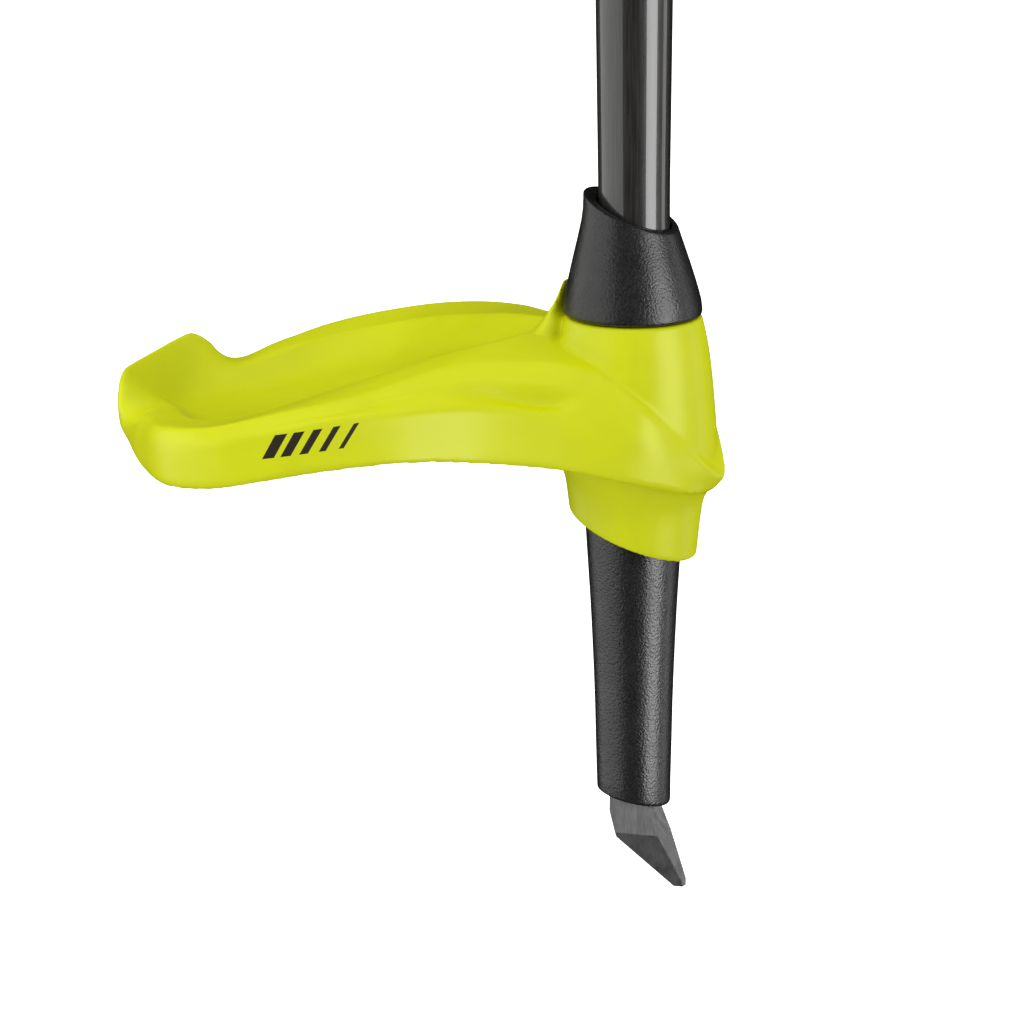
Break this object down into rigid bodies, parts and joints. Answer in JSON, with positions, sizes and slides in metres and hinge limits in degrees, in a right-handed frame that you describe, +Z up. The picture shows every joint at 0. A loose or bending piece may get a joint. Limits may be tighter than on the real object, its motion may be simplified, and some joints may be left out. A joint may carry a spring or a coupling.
{
  "type": "ski pole tip",
  "caption": "Lower end of a cross-country ski pole: carbon shaft end, twist-lock collar, half-moon basket, ferrule and bent spike.",
  "frame": {"origin": "centre of the shaft's upper end, on the shaft's axis", "axes": "+Z up along the shaft, -X the side that the basket trails to, +X the direction of travel, Y across"},
  "size_m": [0.0823, 0.0862, 0.1376],
  "materials": {
    "carbon_shaft": "clear-coated carbon fibre",
    "core_plastic": "moulded",
    "washer_steel": "flat",
    "seal_rubber": "smooth",
    "collar_plastic": "fine spark-eroded grain",
    "basket_plastic": "satin moulded neon yellow",
    "ferrule_plastic": "fine spark-eroded grain",
    "spike_steel": "ground hard metal"
  },
  "bodies": {
    "pole": {"shaft_tube": "carbon_shaft", "shaft_core": "core_plastic", "thrust_washer": "washer_steel", "post_seal": "seal_rubber"},
    "collar": {"locking_collar": "collar_plastic", "collar_seal": "seal_rubber"},
    "tip_module": {"basket": "basket_plastic", "tip_ferrule": "ferrule_plastic", "spike": "spike_steel"}
  },
  "joints": [
    {"name": "collar_turn", "type": "hinge", "parent": "pole", "child": "collar", "pos_m": [0, 0, -0.055], "axis": [0, 0, 1], "range_deg": [0, 90]},
    {"name": "module_drop", "type": "slide", "parent": "pole", "child": "tip_module", "axis": [0, 0, -1], "range_m": [0, 0.0024]}
  ],
  "couplings": [
    {"joint": "collar_turn", "follows": "module_drop", "rad_per_m": 654.4}
  ]
}
